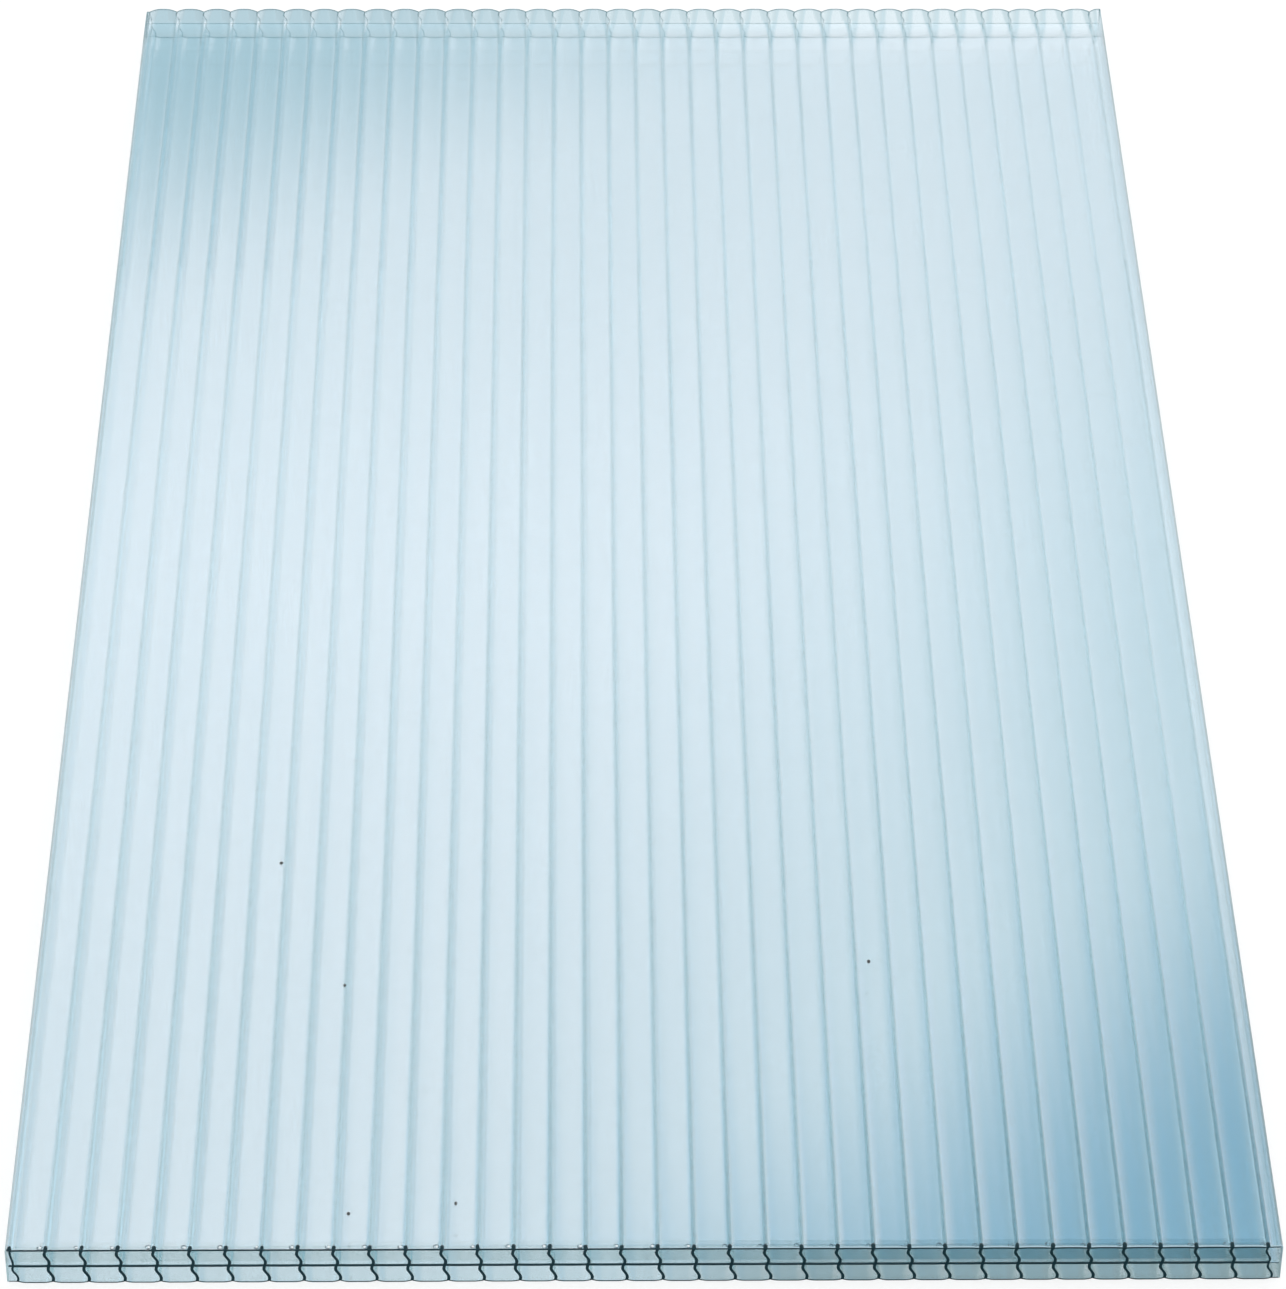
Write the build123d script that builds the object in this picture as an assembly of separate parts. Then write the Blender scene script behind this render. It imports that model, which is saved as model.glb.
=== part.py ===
"""A triple-wall polycarbonate glazing sheet, extruded in one piece and sawn square at both ends.

Two skins and a middle wall are held apart by thin ribs that run the full length, which makes a row of
cells two high. The ribs sway sideways on their way down each row. The skins are drawn in along every rib
and stand flat between, and the middle wall sags a little in each cell. A thin upright wall closes each
long edge.
X is the width, Y the length and Z the thickness. The origin is at the middle of the underside.
"""

import os
from math import sqrt

from build123d import *

# Driving dimensions, in millimetres
sheet_width = 700.0
sheet_length = 1300.0
sheet_thickness = 25.0
cell_count = 35  # whole cells between the first rib and the last, in each row
cell_pitch = 19.7
first_rib_margin = 2.4  # from the left edge to the first rib, at the top skin

skin_thickness = 0.8
middle_wall_thickness = 0.55
rib_thickness = 0.8
edge_wall_thickness = 1.2
edge_radius = 0.8

rib_sway = 2.2  # how far a rib drifts to the right on its way down one row
row_shift = 1.3  # how far the lower row of ribs stands to the right of the upper one
rib_line_depth = 0.8  # how far the skins are drawn in along each rib
shoulder_run = 5.5  # from that line to the flat of the skin
middle_wall_sag = 0.4

# Ribs and edges across the width
left_edge = -sheet_width / 2
right_edge = sheet_width / 2
left_wall_face = left_edge + edge_wall_thickness
right_wall_face = right_edge - edge_wall_thickness
first_rib = left_edge + first_rib_margin
last_rib = first_rib + cell_count * cell_pitch
foot_shift = row_shift + rib_sway  # from a rib's line in the top skin to its line in the bottom skin
half_rib = rib_thickness / 2

# The shoulder is one arc from the rib line up to the flat, and its inner face is concentric with it
shoulder_radius = (shoulder_run**2 + rib_line_depth**2) / (2 * rib_line_depth)
inner_shoulder_radius = shoulder_radius - skin_thickness
inner_shoulder_run = shoulder_run - half_rib
inner_drop = inner_shoulder_radius - sqrt(inner_shoulder_radius**2 - inner_shoulder_run**2)

# Levels, from the underside up
floor_level = skin_thickness
floor_at_rib = floor_level + inner_drop
middle_underside = (sheet_thickness - middle_wall_thickness) / 2
middle_topside = (sheet_thickness + middle_wall_thickness) / 2
ceiling_level = sheet_thickness - skin_thickness
ceiling_at_rib = ceiling_level - inner_drop
top_rib_line = sheet_thickness - rib_line_depth

DOWN, UP = (0, -1), (0, 1)


def sway(start, end, along):
    """A rib's face: two equal arcs that leave start and reach end in the same direction."""
    middle = ((start[0] + end[0]) / 2, (start[1] + end[1]) / 2)
    back = (-along[0], -along[1])
    return [
        TangentArc(start, middle, tangent=along),
        TangentArc(middle, end, tangent=back, tangent_from_first=False),
    ]


def shoulder_up(rib_point, flat_point):
    """From a rib line out to the flat of a skin, level where it meets the flat."""
    towards_rib = (rib_point[0] - flat_point[0], 0)
    return TangentArc(rib_point, flat_point, tangent=towards_rib, tangent_from_first=False)


def shoulder_down(flat_point, rib_point):
    """From the flat of a skin back to a rib line."""
    towards_rib = (rib_point[0] - flat_point[0], 0)
    return TangentArc(flat_point, rib_point, tangent=towards_rib)


def skin(x_from, x_to, rib_level, flat_level, run):
    """One face of a skin across a cell: a shoulder, the flat and the other shoulder."""
    step = 1 if x_to > x_from else -1
    flat_start = (x_from + step * run, flat_level)
    flat_end = (x_to - step * run, flat_level)
    return [
        shoulder_up((x_from, rib_level), flat_start),
        Line(flat_start, flat_end),
        shoulder_down(flat_end, (x_to, rib_level)),
    ]


def sagging(start, end):
    """One face of the middle wall across a cell."""
    lowest = ((start[0] + end[0]) / 2, start[1] - middle_wall_sag)
    return ThreePointArc(start, lowest, end)


def upper_cell(rib):
    """The opening between two ribs of the upper row. rib is the left one's line in the top skin."""
    left, right = rib + half_rib, rib + cell_pitch - half_rib
    left_foot, right_foot = (left + rib_sway, middle_topside), (right + rib_sway, middle_topside)
    return Wire([
        *sway((left, ceiling_at_rib), left_foot, DOWN),
        sagging(left_foot, right_foot),
        *sway(right_foot, (right, ceiling_at_rib), UP),
        *skin(right, left, ceiling_at_rib, ceiling_level, inner_shoulder_run),
    ])


def lower_cell(rib):
    """The opening between two ribs of the lower row. rib is the left one's line in the middle wall."""
    left, right = rib + half_rib, rib + cell_pitch - half_rib
    left_top, right_top = (left, middle_underside), (right, middle_underside)
    left_foot, right_foot = left + rib_sway, right + rib_sway
    return Wire([
        *sway(left_top, (left_foot, floor_at_rib), DOWN),
        *skin(left_foot, right_foot, floor_at_rib, floor_level, inner_shoulder_run),
        *sway((right_foot, floor_at_rib), right_top, UP),
        sagging(right_top, left_top),
    ])


def edge_cell(rib_top, rib_foot, wall_face, top_run):
    """The narrow opening between a rib and the wall of a long edge. top_run leads from the wall to rib_top."""
    return Wire([
        *sway(rib_top, rib_foot, DOWN),
        Line(rib_foot, (wall_face, rib_foot[1])),
        Line((wall_face, rib_foot[1]), top_run[0] @ 0),
        *top_run,
    ])


def edge_cells():
    """The four narrow openings. Only the upper one on the right has room for a shoulder."""
    left_face, right_face = first_rib - half_rib, last_rib + half_rib
    left_top, right_top = (left_face, ceiling_at_rib), (right_face, ceiling_at_rib)
    flat_point = (last_rib + shoulder_run, ceiling_level)
    upper_left_run = [Line((left_wall_face, ceiling_at_rib), left_top)]
    upper_right_run = [Line((right_wall_face, ceiling_level), flat_point), shoulder_down(flat_point, right_top)]
    cells = [
        edge_cell(left_top, (left_face + rib_sway, middle_topside), left_wall_face, upper_left_run),
        edge_cell(right_top, (right_face + rib_sway, middle_topside), right_wall_face, upper_right_run),
    ]
    for face, wall in ((left_face, left_wall_face), (right_face, right_wall_face)):
        top = (face + row_shift, middle_underside)
        foot = (face + foot_shift, floor_at_rib)
        cells.append(edge_cell(top, foot, wall, [Line((wall, middle_underside), top)]))
    return cells


def outline():
    """The outside of the section, its four corners rounded."""
    top_lines = [first_rib + k * cell_pitch for k in range(cell_count + 1)]
    foot_lines = [x + foot_shift for x in top_lines]
    low_left, low_right = (left_edge, rib_line_depth), (right_edge, rib_line_depth)
    high_left, high_right = (left_edge, top_rib_line), (right_edge, sheet_thickness)
    last_flat = (last_rib + shoulder_run, sheet_thickness)

    edges = [Line(low_left, (foot_lines[0], rib_line_depth))]
    for a, b in zip(foot_lines, foot_lines[1:]):
        edges += skin(a, b, rib_line_depth, 0.0, shoulder_run)
    edges += [
        Line((foot_lines[-1], rib_line_depth), low_right),
        Line(low_right, high_right),
        Line(high_right, last_flat),
        shoulder_down(last_flat, (last_rib, top_rib_line)),
    ]
    top_lines.reverse()
    for a, b in zip(top_lines, top_lines[1:]):
        edges += skin(a, b, top_rib_line, sheet_thickness, shoulder_run)
    edges += [Line((first_rib, top_rib_line), high_left), Line(high_left, low_left)]

    face = make_face(Wire(edges))
    corners = face.vertices().filter_by(lambda v: abs(v.X) > right_wall_face)
    return fillet(corners, edge_radius).face().outer_wire()


def section():
    """The whole section as one face, with the width along X and the thickness along Y."""
    first_upper = upper_cell(first_rib)
    first_lower = lower_cell(first_rib + row_shift)
    openings = edge_cells()
    for k in range(cell_count):
        step = Pos(k * cell_pitch, 0)
        openings += [step * first_upper, step * first_lower]
    return Face(outline(), openings)


def multiwall_sheet():
    back_end = Plane.XZ.offset(-sheet_length / 2)
    return extrude(back_end * section(), amount=sheet_length)


os.makedirs("parts", exist_ok=True)
sheet = multiwall_sheet()
export_step(sheet, "parts/multiwall_sheet.step")
print("section area, mm2:", round(sheet.volume / sheet_length, 1), "volume, mm3:", round(sheet.volume))
print("solids:", len(sheet.solids()), "faces:", len(sheet.faces()), "box:", sheet.bounding_box())
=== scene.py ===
"""A clear triple-wall glazing sheet lying on a pale floor, seen from above its front end.

Lengths in the shape functions are millimetres; the meshes are in metres, in the same frame as the solid.
"""

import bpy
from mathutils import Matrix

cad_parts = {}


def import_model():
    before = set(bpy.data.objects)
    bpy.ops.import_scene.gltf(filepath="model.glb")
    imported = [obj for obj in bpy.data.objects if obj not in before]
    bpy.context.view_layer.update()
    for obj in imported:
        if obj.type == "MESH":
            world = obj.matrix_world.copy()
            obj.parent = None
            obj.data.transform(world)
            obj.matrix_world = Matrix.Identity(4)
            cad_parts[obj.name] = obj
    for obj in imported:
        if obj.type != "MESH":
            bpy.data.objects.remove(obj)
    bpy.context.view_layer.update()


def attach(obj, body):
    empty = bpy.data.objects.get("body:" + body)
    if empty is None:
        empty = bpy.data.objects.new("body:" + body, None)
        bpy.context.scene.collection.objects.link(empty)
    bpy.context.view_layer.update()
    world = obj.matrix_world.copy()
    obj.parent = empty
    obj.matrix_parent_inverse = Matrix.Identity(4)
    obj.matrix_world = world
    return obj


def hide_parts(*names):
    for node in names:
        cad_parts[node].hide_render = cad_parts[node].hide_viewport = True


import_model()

import math
import random

import bmesh
import bpy
from mathutils import Matrix, Vector
from mathutils.geometry import delaunay_2d_cdt

MM = 0.001
scene = bpy.context.scene
rng = random.Random(4107)

# The sheet, in millimetres
WIDTH, LENGTH, THICKNESS = 700.0, 1300.0, 25.0
FRONT, BACK = -LENGTH / 2, LENGTH / 2
CELLS = 35
PITCH = 19.7
FIRST_RIB = -347.6
SKIN = 0.8
MIDDLE_WALL = 0.55
RIB = 0.8
EDGE_WALL = 1.2
SAG = 0.12  # of the middle wall in each cell
EDGE_RADIUS = 0.8
CELL_RADIUS, EDGE_CELL_RADIUS = 0.3, 0.25
TOP_CREST = THICKNESS - 0.12  # the specks on the skin need a little room under the box

# The ribs
UPPER_SWAY, LOWER_SWAY = 1.25, 2.1  # how far a rib drifts to the right on its way down each row
UPPER_SWING, LOWER_SWING = 0.75, 0.5  # and how far it swings out on either side of that way
FIRST_SWING = 0.1  # the first rib has no room beside the edge wall
ROW_SHIFT = 1.15

# The groove in the top skin over each rib, where it lies halfway along the sheet
LINE_DEPTH = 0.14
LINE_RUN = 2.8  # half its width
FRONT_DEEPER, BACK_SHALLOWER = 0.75, 0.65  # by what share of that depth
SHALLOWEST_FROM = 450.0
BROAD_FROM, BROAD_OVER = 60.0, 120.0  # across the sheet, the grooves grow to the right
BROAD_DEPTH, BROAD_RUN = 0.6, 4.7

# Near the back end each cell of the top skin is one arch
ARCH_FROM = 602.0
ARCH_DEPTH, ARCH_RUN = 2.3, 5.6

# The groove in the bottom skin under each rib
SHOULDER_RUN = 5.5
FOOT_DEPTH, FOOT_SHALLOWER = 0.25, 0.2
FOOT_SHALLOWER_FROM, FOOT_SHALLOWER_OVER = -100.0, 500.0
END_DRAW, END_REACH = 0.75, 16.0  # deeper at the two sawn ends

# What the saw's heat adds to a wall's thickness at the front cut, and how far in
RIB_MELT, WALL_MELT, SKIN_MELT = 0.95, 0.5, 0.3
MELT_REACH = 1.1

NEAREST = 0.435 * LINE_RUN  # the first station beside a rib line, clear of the rounded corner under it

# Where the specks lie, across and along
SPECKS = ((-212.0, -322.0), (-163.0, -622.0), (133.0, -412.0), (-104.0, -614.0), (-171.0, -432.0))

# Where the rings of the mesh stand along the length: close together where a form or a finish changes
RINGS = (
    FRONT, -648.9, -646, -634.4, -618.8, -540, -410, -270, -130, 20,
    170, 320, 450, 540, 580, ARCH_FROM, 618.8, 634.4, BACK,
)


def spread(centre, reach):
    return centre + rng.uniform(-reach, reach)


def clamped(share):
    return max(0.0, min(1.0, share))


class Rib:
    """One rib's own way of standing: where it meets each wall, and how it wanders along the length."""

    def __init__(self, k):
        self.line = FIRST_RIB + k * PITCH
        self.upper_sway = spread(UPPER_SWAY, 0.2)
        self.lower_start = spread(ROW_SHIFT, 0.12)
        self.lower_sway = spread(LOWER_SWAY, 0.25)
        self.upper_swing = UPPER_SWING if k else FIRST_SWING
        self.wander = rng.uniform(0.03, 0.12)
        self.wave = rng.uniform(500, 1100)
        self.phase = rng.uniform(0, math.tau)
        self.foot_share = spread(1.0, 0.2)
        self.breadth = clamped((self.line - BROAD_FROM) / BROAD_OVER)

    def top(self, y):
        return self.line + self.wander * math.sin(math.tau * y / self.wave + self.phase)

    def upper_foot(self, y):
        return self.top(y) + self.upper_sway

    def lower_top(self, y):
        return self.top(y) + self.lower_start

    def foot(self, y):
        return self.lower_top(y) + self.lower_sway

    def foot_rise(self, y):
        """How far the bottom skin is drawn in here: most at the sawn ends, least on the back half."""
        along = FOOT_DEPTH - FOOT_SHALLOWER * clamped((y - FOOT_SHALLOWER_FROM) / FOOT_SHALLOWER_OVER)
        return self.foot_share * (along + END_DRAW * clamped(1.0 - (BACK - abs(y)) / END_REACH))

    def line_depth(self, y):
        """How far the top skin is drawn in along this rib: little, but for the back end."""
        along = 1.0 + FRONT_DEEPER * clamped(y / FRONT) - BACK_SHALLOWER * clamped(y / SHALLOWEST_FROM)
        return LINE_DEPTH * along * (1.0 + BROAD_DEPTH * self.breadth) + ARCH_DEPTH * arched(y) ** 2

    def line_run(self, y):
        """How wide that groove's shoulders are."""
        return LINE_RUN + max(BROAD_RUN * self.breadth, ARCH_RUN * arched(y))


def arched(y):
    """0 along the sheet, rising to 1 at the back end."""
    return clamped((y - ARCH_FROM) / (BACK - ARCH_FROM))


def melted(y):
    """1 at the front cut, where the blade's heat left every wall a little thicker, and 0 just behind it."""
    return clamped(1.0 - (y - FRONT) / MELT_REACH)


def shoulder(distance, run=SHOULDER_RUN):
    """1 on a rib line, falling to 0 where the flat of the skin starts."""
    return clamped(1.0 - distance / run) ** 2


ribs = [Rib(k) for k in range(CELLS + 1)]


def top_fall(distance, y):
    """How far the top skin lies in beside the last rib, where the groove can't be wider than the margin."""
    return ribs[-1].line_depth(y) * shoulder(distance, min(ribs[-1].line_run(y), SHOULDER_RUN))


def skin_dip(x, *grooves):
    """How far a skin lies in from its crest at x, beside grooves given by their line, depth and run."""
    return max(depth * shoulder(abs(x - line), run) for line, depth, run in grooves)


def steps(start, end, count):
    return [start + (end - start) * i / count for i in range(count + 1)]


def skin_stations(left, right, left_run=SHOULDER_RUN, right_run=SHOULDER_RUN):
    """Where a skin is sampled between two rib lines: closely on the shoulders, widely on the flat."""
    after, before = ([0.0, *steps(NEAREST, run, 4), run + 0.5] for run in (left_run, right_run))
    return [left + s for s in after] + [right - s for s in reversed(before)]


def rib_face(x_start, x_end, z_start, z_end, swing, count=10):
    """One face of a rib, from wall to wall. It swings left below its top and right above its foot."""
    points = []
    for t in steps(0.0, 1.0, count):
        lean = 2 * t * t if t < 0.5 else 1 - 2 * (1 - t) ** 2
        x = x_start + (x_end - x_start) * lean - swing * math.sin(math.tau * t)
        points.append((x, z_start + (z_end - z_start) * t))
    return points


def middle_face(x_start, x_end, level, count=6):
    """One face of the middle wall across a cell, sagging between the ribs."""
    shares = steps(0.0, 1.0, count)
    return [(x_start + (x_end - x_start) * t, level - SAG * 4 * t * (1 - t)) for t in shares]


def straight(start, end):
    """A flat run of wall, with one point halfway."""
    return [start, ((start[0] + end[0]) / 2, (start[1] + end[1]) / 2), end]


def rounded(runs, radius, count=3):
    """A closed loop from runs that meet end to end, with the corner between each two rounded."""
    loop = []
    for i, run in enumerate(runs):
        after = runs[(i + 1) % len(runs)]
        corner = Vector(run[-1])
        entry = corner + (Vector(run[-2]) - corner).normalized() * radius
        leave = corner + (Vector(after[1]) - corner).normalized() * radius
        loop += [Vector(p) for p in run[1:-1]]
        for t in steps(0.0, 1.0, count):
            loop.append(entry * (1 - t) ** 2 + corner * 2 * t * (1 - t) + leave * t * t)
    return loop


def top_dip(x, k, y):
    return skin_dip(x, *((r.top(y), r.line_depth(y), r.line_run(y)) for r in (ribs[k], ribs[k + 1])))


def top_stations(k, y):
    left, right = ribs[k], ribs[k + 1]
    return skin_stations(left.top(y), right.top(y), left.line_run(y), right.line_run(y))


def bottom_rise(x, k, y):
    return skin_dip(x, *((r.foot(y), r.foot_rise(y), SHOULDER_RUN) for r in (ribs[k], ribs[k + 1])))


def upper_cell(k, y):
    left, right = ribs[k], ribs[k + 1]
    half = (RIB + RIB_MELT * melted(y)) / 2
    level = THICKNESS / 2 + (MIDDLE_WALL + WALL_MELT * melted(y)) / 2
    crest = TOP_CREST - SKIN - SKIN_MELT * melted(y)
    top0, top1 = left.top(y) + half, right.top(y) - half
    foot0, foot1 = left.upper_foot(y) + half, right.upper_foot(y) - half
    ceiling = [(x, crest - top_dip(x, k, y)) for x in (top0, *top_stations(k, y)[1:-1], top1)]
    runs = [
        rib_face(top0, foot0, ceiling[0][1], level, left.upper_swing),
        middle_face(foot0, foot1, level),
        rib_face(foot1, top1, level, ceiling[-1][1], -right.upper_swing),
        ceiling[::-1],
    ]
    return rounded(runs, CELL_RADIUS)


def lower_cell(k, y):
    left, right = ribs[k], ribs[k + 1]
    half = (RIB + RIB_MELT * melted(y)) / 2
    level = THICKNESS / 2 - (MIDDLE_WALL + WALL_MELT * melted(y)) / 2
    top0, top1 = left.lower_top(y) + half, right.lower_top(y) - half
    foot0, foot1 = left.foot(y) + half, right.foot(y) - half
    stations = skin_stations(left.foot(y), right.foot(y))[1:-1]
    bottom = [(x, SKIN + bottom_rise(x, k, y)) for x in (foot0, *stations, foot1)]
    runs = [
        rib_face(top0, foot0, level, bottom[0][1], LOWER_SWING),
        bottom,
        rib_face(foot1, top1, bottom[-1][1], level, -LOWER_SWING),
        middle_face(top1, top0, level),
    ]
    return rounded(runs, CELL_RADIUS)


def edge_pair(rib, side, wall, roof, y):
    """The narrow openings of both rows beside an edge wall. roof leads from the wall to the rib."""
    middle_top, middle_low = (THICKNESS + MIDDLE_WALL) / 2, (THICKNESS - MIDDLE_WALL) / 2
    top, foot = rib.top(y) + side, rib.upper_foot(y) + side
    upper = [
        rib_face(top, foot, roof[-1][1], middle_top, rib.upper_swing),
        straight((foot, middle_top), (wall, middle_top)),
        straight((wall, middle_top), roof[0]),
        roof,
    ]
    top, foot = rib.lower_top(y) + side, rib.foot(y) + side
    low = SKIN + rib.foot_rise(y) * shoulder(RIB / 2)
    lower = [
        rib_face(top, foot, middle_low, low, LOWER_SWING),
        straight((foot, low), (wall, low)),
        straight((wall, low), (wall, middle_low)),
        straight((wall, middle_low), (top, middle_low)),
    ]
    return [rounded(upper, EDGE_CELL_RADIUS), rounded(lower, EDGE_CELL_RADIUS)]


def edge_cells(y):
    """The four narrow openings beside the edge walls. Only the right margin has room for a shoulder."""
    first, last = ribs[0], ribs[-1]
    crest = TOP_CREST - SKIN
    left_wall, right_wall = EDGE_WALL - WIDTH / 2, WIDTH / 2 - EDGE_WALL
    ceiling = crest - first.line_depth(y)
    left_roof = [(left_wall, ceiling), (first.top(y) - RIB / 2, ceiling)]
    on_shoulder = (SHOULDER_RUN, 4.2, 2.9, 1.6, RIB / 2)
    right_roof = [(right_wall, crest)]
    right_roof += [(last.top(y) + s, crest - top_fall(s, y)) for s in on_shoulder]
    left = edge_pair(first, -RIB / 2, left_wall, left_roof, y)
    return left + edge_pair(last, RIB / 2, right_wall, right_roof, y)


def outline(y):
    """The outside of the section, starting at the lower left corner."""
    left, right = -WIDTH / 2, WIDTH / 2
    low_left, low_right = (left, ribs[0].foot_rise(y)), (right, ribs[-1].foot_rise(y))
    high_left, high_right = (left, TOP_CREST - ribs[0].line_depth(y)), (right, TOP_CREST)

    bottom = [low_left]
    for k in range(CELLS):
        stations = skin_stations(ribs[k].foot(y), ribs[k + 1].foot(y))
        bottom += [(x, bottom_rise(x, k, y)) for x in stations[:-1]]
    bottom += [(ribs[-1].foot(y), low_right[1]), low_right]

    top = [high_right]
    last_shoulder = steps(SHOULDER_RUN, 0.0, 5)[:-1]
    top += [(ribs[-1].top(y) + s, TOP_CREST - top_fall(s, y)) for s in last_shoulder]
    for k in reversed(range(CELLS)):
        top += [(x, TOP_CREST - top_dip(x, k, y)) for x in top_stations(k, y)[:0:-1]]
    top += [(ribs[0].top(y), high_left[1]), high_left]

    side_up = [low_right, (right, THICKNESS / 2), high_right]
    side_down = [high_left, (left, THICKNESS / 2), low_left]
    return rounded([bottom, side_up, top, side_down], EDGE_RADIUS, 5)


def section_loops(y):
    loops = [outline(y)]
    for k in range(CELLS):
        loops += [upper_cell(k, y), lower_cell(k, y)]
    return loops + edge_cells(y)


def inside(point, loop):
    x, z = point
    hit = False
    for a, b in zip(loop, loop[1:] + loop[:1]):
        if (a[1] > z) != (b[1] > z) and x < a[0] + (z - a[1]) / (b[1] - a[1]) * (b[0] - a[0]):
            hit = not hit
    return hit


def cut_face(loops):
    """Triangles over the plastic of one sawn end, as numbers of the loops' points in order."""
    points, owner, edges = [], [], []
    for i, loop in enumerate(loops):
        first = len(points)
        points += [Vector(p) for p in loop]
        owner += [i] * len(loop)
        edges += [(first + j, first + (j + 1) % len(loop)) for j in range(len(loop))]
    found = delaunay_2d_cdt(points, edges, [], 1, 1e-5)
    source = [min(ids) for ids in found[3]]
    triangles = []
    for triangle in found[2]:
        corners = [source[i] for i in triangle]
        rings = {owner[i] for i in corners}
        if len(rings) == 1:
            ring = rings.pop()
            centre = sum((points[i] for i in corners), Vector((0, 0))) / 3
            if inside(centre, loops[ring]) != (ring == 0):
                continue
        triangles.append(corners)
    return triangles


# The finishes of the sheet's faces, in the order of its materials. Several are painted shade or a painted
# highlight: the dark cut faces, the pale edge at the front cut, the darker cell floors behind it, and the
# darker rib faces and strips over the ribs.
CLEAR, SAWN, RIB_FACE, FRONT_SHADE, PALE_EDGE, BACK_CUT = range(6)
RIB_LINE, BACK_LINE, BACK_ARCH, BACK_RIB, FAR_LINE = range(6, 11)

# Where they begin and end, in millimetres in from the front cut
UPPER_SHADE_REACH, LOWER_SHADE_REACH = 15.0, 31.0  # how far in the painted shade reaches on the floors of the upper and of the lower cells
NEAR_REACH = 900.0
ARCH_START = 1250.0

PALE_EDGE_FROM = 30.0  # across: the pale edge, a painted highlight, lies on the right half only
CLEAN_FROM = WIDTH / 2 - EDGE_WALL - 0.2  # across: the cut ends of the edge walls are not sawn dark; the left one takes the painted front shade
OVER_RIB = 1.0  # across: how far from a rib's line its strip of skin reaches

# In height: the floors of the two rows of cells, and from where the back end is arched
LOWER_FLOOR = (0.3, 3.0)
UPPER_FLOOR = (THICKNESS / 2, THICKNESS / 2 + 2.0)
ARCHES_FROM = 18.0


def over_rib(a, b):
    """Whether a strip of the section's upper half lies over a rib."""
    middle = (a[0] + b[0]) / 2
    k = round((middle - FIRST_RIB) / PITCH)
    return a[1] > THICKNESS / 2 and abs(middle - FIRST_RIB - k * PITCH) < OVER_RIB


def strip_slot(loop_number, a, b, depth):
    """Which finish a strip of the sheet's long faces has, at a depth in from the front cut."""
    outside, in_cell = loop_number == 0, 0 < loop_number <= 2 * CELLS
    height = (a[1] + b[1]) / 2
    run, rise = abs(b[0] - a[0]), abs(b[1] - a[1])
    if depth < MELT_REACH and (in_cell and height > LOWER_FLOOR[1] or over_rib(a, b)):
        return SAWN
    # A pale strip of the top skin at the front cut, on the right half: a painted highlight.
    if depth < MELT_REACH and outside and height > THICKNESS / 2 and a[0] > PALE_EDGE_FROM:
        return PALE_EDGE
    # The rib faces carry painted shade: darker towards the front, and on the far part towards the left.
    if in_cell and rise > run:
        return RIB_FACE if depth < NEAR_REACH else BACK_RIB
    # Just behind the front cut the cells' floors carry painted shade, darker towards the right.
    near_shade = UPPER_FLOOR[0] < height < UPPER_FLOOR[1] and depth < UPPER_SHADE_REACH
    far_shade = LOWER_FLOOR[0] < height < LOWER_FLOOR[1] and UPPER_SHADE_REACH < depth < LOWER_SHADE_REACH
    if in_cell and (near_shade or far_shade):
        return FRONT_SHADE
    sloping = rise > 0.1 * run
    if depth > ARCH_START and height > ARCHES_FROM and sloping and not over_rib(a, b):
        return BACK_ARCH
    # The strips of the top skin over the ribs carry painted shade: dark lines along the ribs, darkest
    # towards the front right.
    if outside and over_rib(a, b):
        if depth < NEAR_REACH:
            return RIB_LINE
        return FAR_LINE if depth < ARCH_START else BACK_LINE
    return CLEAR


def cut_slot(across):
    """Which finish a triangle of the front cut has, by where its corners lie across the sheet."""
    if min(across) > CLEAN_FROM:
        return CLEAR
    # The left edge wall's cut end takes the painted front shade.
    if max(across) < -CLEAN_FROM:
        return FRONT_SHADE
    return SAWN


def sheet_mesh():
    """The whole sheet as one closed skin: rings of the section joined up, and the two cut ends."""
    rings = [section_loops(y) for y in RINGS]
    per_ring = sum(len(loop) for loop in rings[0])
    vertices, faces, slots = [], [], []
    for y, loops in zip(RINGS, rings):
        vertices += [(p[0] * MM, y * MM, p[1] * MM) for loop in loops for p in loop]
    for r, y in enumerate(RINGS[:-1]):
        first = r * per_ring
        for i, loop in enumerate(rings[r]):
            n = len(loop)
            for j in range(n):
                a, b = first + j, first + (j + 1) % n
                faces.append((a, b, b + per_ring, a + per_ring))
                slots.append(strip_slot(i, loop[j], loop[(j + 1) % n], y - FRONT))
            first += n
    for triangle in cut_face(rings[0]):
        faces.append(tuple(triangle))
        slots.append(cut_slot([vertices[i][0] / MM for i in triangle]))
    back = (len(RINGS) - 1) * per_ring
    for triangle in cut_face(rings[-1]):
        faces.append(tuple(back + i for i in reversed(triangle)))
        slots.append(BACK_CUT)
    mesh = bpy.data.meshes.new("sheet")
    mesh.from_pydata(vertices, [], faces)
    mesh.polygons.foreach_set("material_index", slots)
    return mesh


def outward(mesh):
    """Turns every face to look out of the plastic, and leaves only the real edges sharp."""
    work = bmesh.new()
    work.from_mesh(mesh)
    bmesh.ops.recalc_face_normals(work, faces=work.faces)
    work.to_mesh(mesh)
    work.free()
    mesh.polygons.foreach_set("use_smooth", [True] * len(mesh.polygons))
    mesh.set_sharp_from_angle(angle=math.radians(50))


def curl(vertices, faces, centre, ring, tube, start, sweep, count=9, sides=5):
    """A round thread lying flat, drawn around centre and thinning out. All in millimetres."""
    first = len(vertices)
    for i in range(count + 1):
        turn = start + sweep * i / count
        thin = tube * (1.0 - 0.6 * i / count)
        for j in range(sides):
            lean = math.tau * j / sides
            out = ring + thin * math.cos(lean)
            point = (out * math.cos(turn), out * math.sin(turn), thin * math.sin(lean))
            vertices.append(tuple((c + p) * MM for c, p in zip(centre, point)))
    for i in range(count):
        for j in range(sides):
            a, b = first + i * sides + j, first + i * sides + (j + 1) % sides
            faces.append((a, b, b + sides, a + sides))
    faces.append(tuple(first + j for j in reversed(range(sides))))
    faces.append(tuple(first + count * sides + j for j in range(sides)))


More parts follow.
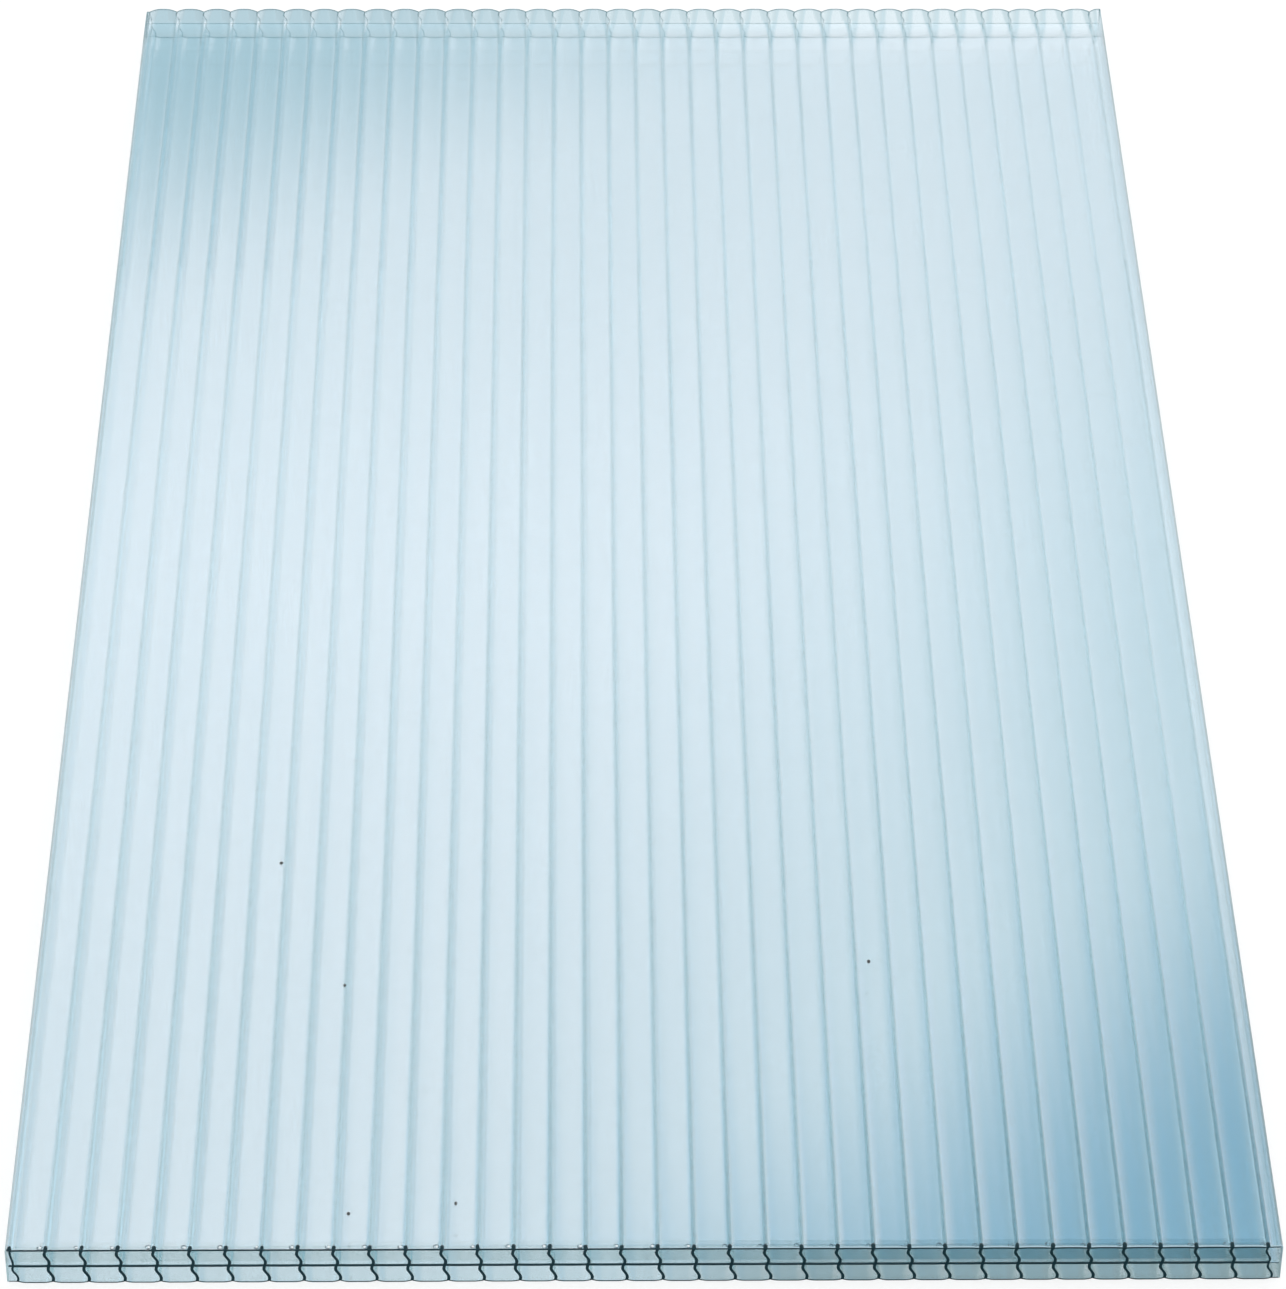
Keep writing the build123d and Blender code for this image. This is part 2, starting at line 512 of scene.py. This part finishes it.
def bead(vertices, faces, centre, radii, rows=5, around=8):
    """A flattened drop. All in millimetres."""
    first = len(vertices)
    for i in range(1, rows):
        tip = math.pi * i / rows
        for j in range(around):
            turn = math.tau * j / around
            point = (math.sin(tip) * math.cos(turn), math.sin(tip) * math.sin(turn), math.cos(tip))
            vertices.append(tuple((c + p * r) * MM for c, p, r in zip(centre, point, radii)))
    for i in range(rows - 2):
        for j in range(around):
            a, b = first + i * around + j, first + i * around + (j + 1) % around
            faces.append((a, a + around, b + around, b))
    faces.append(tuple(first + j for j in range(around)))
    faces.append(tuple(first + (rows - 2) * around + j for j in reversed(range(around))))


def glint_rims():
    """At each rib of the front cut, a small dark curl on the skin: painted shade round the painted glint.
    """
    vertices, faces = [], []
    tube, sunk = 0.46, 0.5
    for rib in ribs[1:]:
        ring = spread(1.3, 0.25)
        beside, behind = spread(2.9, 0.4), spread(2.3, 0.25)
        centre = (rib.line - beside, FRONT + behind, THICKNESS - sunk)
        start, sweep = rng.uniform(0, math.tau), spread(5.2, 0.8)
        curl(vertices, faces, centre, ring, tube, start, sweep)
    return vertices, faces


def painted_glints():
    """With a pale painted glint inside each curl of the left half."""
    vertices, faces = [], []
    half_thick, sunk = 0.12, 0.2
    for rib in [rib for rib in ribs[1:] if rib.line < PALE_EDGE_FROM]:
        radii = (spread(0.9, 0.15), spread(1.0, 0.15), half_thick)
        beside, behind = spread(2.8, 0.3), spread(2.0, 0.2)
        centre = (rib.line - beside, FRONT + behind, THICKNESS - sunk)
        bead(vertices, faces, centre, radii, 4, 8)
    return vertices, faces


def shade_beads():
    """And a dark drop on the rib itself: painted shade."""
    vertices, faces = [], []
    half_thick, sunk, behind_cut = 0.45, 0.5, 0.05
    for rib in ribs:
        radii = (spread(1.3, 0.2), spread(1.9, 0.25), half_thick)
        beside = spread(0.1, 0.2)
        centre = (rib.line + beside, FRONT + radii[1] + behind_cut, THICKNESS - sunk)
        bead(vertices, faces, centre, radii)
    return vertices, faces


def dust():
    """A few dark specks lying on the top skin."""
    vertices, faces = [], []
    half_thick, lift = 0.055, 0.05
    for x, y in SPECKS:
        radii = (spread(1.0, 0.15), spread(1.5, 0.2), half_thick)
        bead(vertices, faces, (x, y, TOP_CREST + lift), radii, 4, 7)
    return vertices, faces


# Shader sums written as plain expressions


class Field:
    """A socket that carries a number over a surface. Sums on it add Math nodes."""

    def __init__(self, tree, socket):
        self.tree, self.socket = tree, socket

    def sum(self, operation, *others):
        return self.tree.node("Math", dict(enumerate((self, *others))), operation=operation)

    def __add__(self, other):
        return self.sum("ADD", other)

    def __sub__(self, other):
        return self.sum("SUBTRACT", other)

    def __mul__(self, other):
        return self.sum("MULTIPLY", other)

    def __rsub__(self, other):
        return self.tree.node("Math", {0: other, 1: self}, operation="SUBTRACT")

    def __pow__(self, other):
        return self.sum("POWER", other)

    def __neg__(self):
        return self * -1.0

    __radd__, __rmul__ = __add__, __mul__


class Tree:
    """A node tree that is written from its sources to its output."""

    def __init__(self, tree):
        self.tree = tree
        tree.nodes.clear()

    def node(self, kind, inputs=(), out=0, **settings):
        made = self.tree.nodes.new("ShaderNode" + kind)
        for name, value in settings.items():
            setattr(made, name, value)
        for name, value in dict(inputs).items():
            if isinstance(value, Field):
                self.tree.links.new(value.socket, made.inputs[name])
            else:
                made.inputs[name].default_value = value
        return Field(self, made.outputs[out]) if made.outputs else None

    def place(self, stretch=(1.0, 1.0, 1.0)):
        """The point on the piece, in metres, drawn out along the axes by stretch."""
        point = self.node("TexCoord", out="Object")
        return self.node("VectorMath", {0: point, 1: stretch}, operation="MULTIPLY")

    def noise(self, scale, stretch=(1.0, 1.0, 1.0), detail=2.0):
        return self.node("TexNoise", {"Vector": self.place(stretch), "Scale": scale, "Detail": detail})

    def between(self, value, low, high, to_low=0.0, to_high=1.0):
        inputs = {"Value": value, "From Min": low, "From Max": high, "To Min": to_low, "To Max": to_high}
        return self.node("MapRange", inputs, interpolation_type="SMOOTHSTEP")

    def dot(self, field, direction):
        inputs = {0: field, 1: tuple(direction)}
        return self.node("VectorMath", inputs, out="Value", operation="DOT_PRODUCT")

    def blend(self, amount, first, second):
        inputs = {"Factor": amount, 6: first, 7: second}
        return self.node("Mix", inputs, out=2, data_type="RGBA")


# What one face of a wall lets through, at its clearest and at its darkest. Only the clear tints vary at
# random; in all the others the darkness is painted shade: dark lines along and over the ribs, and the
# shaded front mouths of the cells.
CLEAR_TINTS = (0.95, 0.977, 0.986, 1), (0.93, 0.967, 0.98, 1)
RIB_TINTS = (0.96, 0.98, 0.986, 1), (0.82, 0.895, 0.91, 1)
LINE_TINTS = (0.89, 0.93, 0.94, 1), (0.4, 0.54, 0.58, 1)
FAR_LINE_TINTS = (0.93, 0.96, 0.968, 1), (0.92, 0.952, 0.962, 1)
BACK_RIB_TINTS = (0.955, 0.98, 0.987, 1), (0.88, 0.93, 0.945, 1)
BACK_LINE_TINTS = (0.965, 0.985, 0.99, 1), (0.93, 0.955, 0.965, 1)
FRONT_SHADE_TINTS = (0.86, 0.92, 0.925, 1), (0.62, 0.72, 0.725, 1)

# Opaque colours at the cuts, darker and lighter: the sawn faces, the back cut, the rims round the glints
# and the beads are painted shade, the pale edge and the glints painted highlights; the dust is its own
# colour.
SAWN_COLOURS = (0.002, 0.02, 0.028, 1), (0.008, 0.045, 0.06, 1)
PALE_EDGE_COLOURS = (0.28, 0.44, 0.51, 1), (0.42, 0.58, 0.65, 1)
BACK_CUT_COLOURS = (0.2, 0.35, 0.38, 1), (0.36, 0.5, 0.53, 1)
RIM_SHADE_COLOURS = (0.03, 0.09, 0.12, 1), (0.16, 0.26, 0.3, 1)
GLINT_COLOURS = (0.6, 0.7, 0.74, 1), (0.9, 0.95, 0.96, 1)
BEAD_SHADE_COLOURS = (0.002, 0.016, 0.022, 1), (0.01, 0.04, 0.05, 1)
DUST_COLOURS = (0.03, 0.04, 0.045, 1), (0.12, 0.13, 0.13, 1)

# How strongly a face bends light and mirrors it: whole, sawn and in the dark beads
POLYCARBONATE_INDEX, SAWN_INDEX, BEAD_INDEX = 1.585, 1.3, 1.2
HEAD_ON_GLOSS, GRAZING_GLOSS = 0.05, 0.95

WHITE = (1.0, 1.0, 1.0, 1)
LEFTWARD, RIGHTWARD, FRONTWARD, BACKWARD = (-1, 0, 0), (1, 0, 0), (0, -1, 0), (0, 1, 0)
FRONT_RIGHTWARD = (0.5, -1, 0)


def material(name):
    made = bpy.data.materials.new(name)
    made.use_nodes = True
    return made, Tree(made.node_tree)


def thin_wall(name, tints, along=(0, 0, 0), start=0.0, end=1.0, least=-0.1, gloss=1.0):
    """A wall too thin to bend what lies behind it: tinted, with a clear face's gloss.

    It is streaked along the flutes and grows darker from start to end, in metres along a direction; where
    the tints are darker than the clear ones, that darkening is painted shade.
    """
    made, tree = material(name)
    way = tree.dot(tree.place(), along)
    streaks = tree.noise(140.0, (1.0, 0.02, 1.0), 0.0)
    duller = streaks * 0.5 + tree.between(way, start, end, least, 0.7)
    clear, dull = (tree.node("BsdfTransparent", {"Color": tint}) for tint in tints)
    through = tree.node("MixShader", {0: duller, 1: clear, 2: dull})
    glint = tree.node("BsdfGlossy", {"Color": WHITE, "Roughness": 0.0})
    facing = tree.node("LayerWeight", {"Blend": 0.5}, out="Facing")
    share = (facing**4 * GRAZING_GLOSS + HEAD_ON_GLOSS) * gloss
    tree.node("OutputMaterial", {"Surface": tree.node("MixShader", {0: share, 1: through, 2: glint})})
    return made


def sawn_polycarbonate():
    """The cut ends and their rims, dulled by the saw. The light held in the walls leaves them dark."""
    made, tree = material("sawn polycarbonate")
    marks = tree.noise(900.0, (1.0, 1.0, 4.0))
    roughness = tree.between(marks, 0.2, 0.8, 0.3, 0.5)
    bump = tree.node("Bump", {"Strength": 0.15, "Distance": 0.0002, "Height": marks})
    colour = tree.blend(marks, *SAWN_COLOURS)
    look = {"Base Color": colour, "Roughness": roughness, "IOR": SAWN_INDEX, "Normal": bump}
    tree.node("OutputMaterial", {"Surface": tree.node("BsdfPrincipled", look)})
    return made


def opaque_polycarbonate(name, colours, index=POLYCARBONATE_INDEX):
    """An opaque plastic, mottled between two colours. At the cuts its colours are painted shade or a
    painted highlight.
    """
    made, tree = material(name)
    colour = tree.blend(tree.noise(1500.0), *colours)
    plastic = tree.node("BsdfPrincipled", {"Base Color": colour, "Roughness": 0.35, "IOR": index})
    tree.node("OutputMaterial", {"Surface": plastic})
    return made


def dark_dust():
    made, tree = material("dark dust")
    colour = tree.blend(tree.noise(2500.0), *DUST_COLOURS)
    grit = tree.node("BsdfPrincipled", {"Base Color": colour, "Roughness": 0.9})
    tree.node("OutputMaterial", {"Surface": grit})
    return made


# The floor's paint, and the painted shade it glows with where it is mirrored or seen through the sheet: the
# sheet's shadow, darker towards the front right, and other tones before and beyond the cells' mouths
FLOOR_PAINT = (0.35, 0.35, 0.35, 1)
FLOOR_LIFT = 0.7
SHEET_SHADOW_TONE, FLOOR_SHADE = (0.40, 0.47, 0.49, 1), (0.22, 0.29, 0.31, 1)
MOUTH_TONE, MOUTH_SHADE = (0.48, 0.59, 0.63, 1), (0.26, 0.34, 0.35, 1)
OPEN_LEFT, OPEN_RIGHT = (0.5, 0.62, 0.67, 1), (0.69, 0.78, 0.81, 1)

# Where those tones change, in metres
SHADED_CORNER = (0.38, 0.64)  # towards the front right
MOUTH_LINE = (-0.636, -0.632)  # before it, the cells' front mouths show the floor
MOUTH_SHADED = (-0.03, 0.1)
OPEN_LINE = (0.646, 0.674)  # behind it, the cells' back mouths do
OPEN_TURN = (-0.2, 0.15)


def pale_floor():
    """Pale paint that keeps a shadow. Seen in gloss or through the sheet it glows with painted shade
    instead: the sheet's shadow, darker towards the front right, and lighter tones at the cells' mouths.
    """
    made, tree = material("pale floor")
    camera_ray = tree.node("LightPath", out="Is Camera Ray")
    rays = camera_ray.socket.node.outputs
    glossy, layers = Field(tree, rays["Is Glossy Ray"]), Field(tree, rays["Transparent Depth"])
    paint = tree.node("BsdfDiffuse", {"Color": FLOOR_PAINT})
    lift = tree.node("Emission", {"Color": WHITE, "Strength": camera_ray * FLOOR_LIFT})
    bare = tree.node("AddShader", {0: paint, 1: lift})

    place = tree.place()
    right, behind = tree.dot(place, RIGHTWARD), tree.dot(place, BACKWARD)
    front_right = right * 0.734 - behind * 0.68
    under = tree.blend(tree.between(front_right, *SHADED_CORNER), SHEET_SHADOW_TONE, FLOOR_SHADE)
    mouth = tree.blend(tree.between(right, *MOUTH_SHADED), MOUTH_TONE, MOUTH_SHADE)
    beyond = tree.blend(tree.between(right, *OPEN_TURN), OPEN_LEFT, OPEN_RIGHT)
    tone = tree.blend(tree.between(behind, *MOUTH_LINE), mouth, under)
    tone = tree.blend(tree.between(behind, *OPEN_LINE), tone, beyond)
    # A glow in those painted tones, not a lit floor.
    plain = tree.node("Emission", {"Color": tone, "Strength": 1.0})

    covered = glossy.sum("MAXIMUM", layers.sum("GREATER_THAN", 0.5))
    tree.node("OutputMaterial", {"Surface": tree.node("MixShader", {0: covered, 1: bare, 2: plain})})
    return made


# The camera, found from the photograph's rib lines and cut edges
FOCAL_PIXELS = 5507.0
PHOTO_LONG_SIDE = 1289.0
SENSOR = 36.0
EYE = (-0.0404, -2.8283, 2.1337)
LOOK_DOWN, LOOK_RIGHT, ROLL = (math.radians(a) for a in (37.809, 0.961, 0.494))


def camera():
    down, yaw = LOOK_DOWN, LOOK_RIGHT
    ahead = Vector((math.sin(yaw) * math.cos(down), math.cos(yaw) * math.cos(down), -math.sin(down)))
    level = Vector((math.cos(yaw), -math.sin(yaw), 0))
    upright = level.cross(ahead)
    right = level * math.cos(ROLL) + upright * math.sin(ROLL)
    up = upright * math.cos(ROLL) - level * math.sin(ROLL)
    data = bpy.data.cameras.new("camera")
    data.sensor_width = SENSOR
    data.lens = FOCAL_PIXELS / PHOTO_LONG_SIDE * SENSOR
    made = bpy.data.objects.new("camera", data)
    turn = Matrix((right, up, -ahead)).transposed().to_4x4()
    made.matrix_world = Matrix.Translation(EYE) @ turn
    scene.collection.objects.link(made)
    scene.camera = made
    return ahead, right, up


# The soft light that the sheet mirrors: its middle, its right side and far end, and two faded corners
SOFT_BOX = (2.02, 1.95, 2.03, 1)
SOFT_BOX_SIDE = (1.34, 1.51, 1.63, 1)
SOFT_BOX_END = (1.52, 1.52, 1.59, 1)
LOW_FADE = (0.6, 0.88, 1.01, 1)
HIGH_FADE = (0.5, 1.0, 1.4, 1)

# The studio's walls around it, which the ribs' faces and the grooves mirror
SIDE_WALL = (1.6, 1.7, 1.75, 1)
RIGHT_FRONT_WALL, LEFT_FRONT_WALL = (2.0, 2.3, 2.55, 1), (2.4, 2.8, 3.15, 1)
RIGHT_END_WALL, LEFT_END_WALL = (0.45, 0.65, 0.75, 1), (1.05, 1.18, 1.24, 1)
ROOM = (1.8, 1.8, 1.85, 1)

# Where they begin and end, as shares of the distance: across to the right, or down to the front end
SIDE_REACH, END_REACH_OF_LIGHT = (-0.02, 0.105), (0.0, 0.1)
LOW_CORNER, HIGH_CORNER = (0.0853, 0.1307), (0.0761, 0.1378)
RIGHT_WALL_AT, LEFT_WALL_AT = (0.15, 0.3), (0.13, 0.3)
FRONT_WALL_AT, LEFT_END_AT, RIGHT_END_AT = (0.02, 0.08), (0.085, 0.11), (0.0, 0.15)
ROOM_AT = (0.15, 0.26)
DARK_END = (0.835, 0.85)  # along the flutes, whatever the tilt of the face
AHEAD = (0.35, 0.7)


def world(ahead, right, up):
    """White to the camera. Gloss sees a soft light that fades at two corners, and the walls beside it."""
    made = bpy.data.worlds.new("studio")
    made.use_nodes = True
    tree = Tree(made.node_tree)
    made.cycles.sampling_method = "NONE"  # an even light needs no aiming
    scene.world = made
    look = tree.node("TexCoord", out="Generated")
    # the studio as the level sheet mirrors it: towards the camera's aim, turned upward
    mirror = Vector((1, 1, -1))
    across, down = tree.dot(look, right * mirror), tree.dot(look, -(up * mirror))

    def turned(way, zone, first, second):
        return tree.blend(tree.between(way, *zone), first, second)

    soft = turned(across * 0.9 + down * 0.35, SIDE_REACH, SOFT_BOX, SOFT_BOX_SIDE)
    soft = turned(-down, END_REACH_OF_LIGHT, soft, SOFT_BOX_END)
    soft = turned(across * -0.353 - down * 0.936, LOW_CORNER, soft, LOW_FADE)
    soft = turned(across * 0.526 + down * 0.85, HIGH_CORNER, soft, HIGH_FADE)

    # near the back end, what is mirrored to the right is the dark end of the studio
    end = tree.between(tree.dot(look, BACKWARD), *DARK_END)
    right_end = end * tree.between(across, *RIGHT_END_AT)
    right_wall = tree.blend(end, turned(down, FRONT_WALL_AT, SIDE_WALL, RIGHT_FRONT_WALL), RIGHT_END_WALL)
    left_wall = turned(down, FRONT_WALL_AT, SIDE_WALL, LEFT_FRONT_WALL)
    left_wall = turned(-down, LEFT_END_AT, left_wall, LEFT_END_WALL)
    soft = turned(across, RIGHT_WALL_AT, soft, right_wall)
    soft = turned(-across, LEFT_WALL_AT, soft, left_wall)
    room = tree.blend(right_end, ROOM, RIGHT_END_WALL)
    for reach in (down, -down):
        soft = turned(reach, ROOM_AT, soft, room)
    behind = tree.blend(right_end, WHITE, RIGHT_END_WALL)
    studio = turned(tree.dot(look, ahead * mirror), AHEAD, behind, soft)

    camera_ray = tree.node("LightPath", out="Is Camera Ray")
    diffuse = Field(tree, camera_ray.socket.node.outputs["Is Diffuse Ray"])
    colour = tree.blend(camera_ray.sum("MAXIMUM", diffuse), studio, WHITE)
    back = tree.node("Background", {"Color": colour, "Strength": 1.0})
    tree.node("OutputWorld", {"Surface": back})


def floor():
    reach, z = 6.0, -0.0004
    corners = [(-reach, -reach, z), (reach, -reach, z), (reach, reach, z), (-reach, reach, z)]
    mesh = bpy.data.meshes.new("floor")
    mesh.from_pydata(corners, [], [(0, 1, 2, 3)])
    mesh.materials.append(pale_floor())
    made = bpy.data.objects.new("floor", mesh)
    scene.collection.objects.link(made)


def sheet_finishes():
    """The sheet's materials, in the order of the finishes' numbers."""
    return (
        thin_wall("clear polycarbonate", CLEAR_TINTS),
        sawn_polycarbonate(),
        # The rib faces and the strips over the ribs are tinted darker by place: painted shade.
        thin_wall("rib polycarbonate", RIB_TINTS, FRONTWARD, -0.1, 0.6),
        # Painted shade in the cells' front mouths, darker towards the right.
        thin_wall("polycarbonate with painted front shade", FRONT_SHADE_TINTS, RIGHTWARD, -0.03, 0.12),
        # The pale edge at the front cut is a painted highlight.
        opaque_polycarbonate("pale edge painted highlight", PALE_EDGE_COLOURS),
        # The back cut face is opaque teal: painted shade of the dark cut edge.
        opaque_polycarbonate("back cut", BACK_CUT_COLOURS),
        thin_wall("rib line polycarbonate", LINE_TINTS, FRONT_RIGHTWARD, 0.42, 0.95, -0.33),
        thin_wall("back line polycarbonate", BACK_LINE_TINTS, BACKWARD, 0.2, 0.6, gloss=0.4),
        thin_wall("back arch polycarbonate", CLEAR_TINTS, gloss=0.4),
        thin_wall("back rib polycarbonate", BACK_RIB_TINTS, LEFTWARD, 0.0, 0.3, -0.33, 0.6),
        thin_wall("far line polycarbonate", FAR_LINE_TINTS),
    )


def the_sheet():
    mesh = sheet_mesh()
    outward(mesh)
    for finish in sheet_finishes():
        mesh.materials.append(finish)
    made = bpy.data.objects.new("sheet", mesh)
    scene.collection.objects.link(made)
    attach(made, "root")
    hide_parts("multiwall_sheet")


def small_piece(name, form, paint):
    vertices, faces = form
    mesh = bpy.data.meshes.new(name)
    mesh.from_pydata(vertices, [], faces)
    mesh.materials.append(paint)
    mesh.polygons.foreach_set("use_smooth", [True] * len(mesh.polygons))
    made = bpy.data.objects.new(name, mesh)
    scene.collection.objects.link(made)
    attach(made, "root")


world(*camera())
floor()
the_sheet()
# The curls, glints and beads at the front cut are painted shade and painted highlights; the dust is real.
small_piece("glint_rims", glint_rims(), opaque_polycarbonate("curls", RIM_SHADE_COLOURS))
small_piece("painted_glints", painted_glints(), opaque_polycarbonate("painted glint", GLINT_COLOURS))
bead_shade = opaque_polycarbonate("painted shade beads", BEAD_SHADE_COLOURS, BEAD_INDEX)
small_piece("shade_beads", shade_beads(), bead_shade)
small_piece("dust", dust(), dark_dust())

scene.view_settings.view_transform = "Standard"
scene.cycles.max_bounces = 8
scene.cycles.diffuse_bounces = 2
scene.cycles.glossy_bounces = 8
scene.cycles.transparent_max_bounces = 64
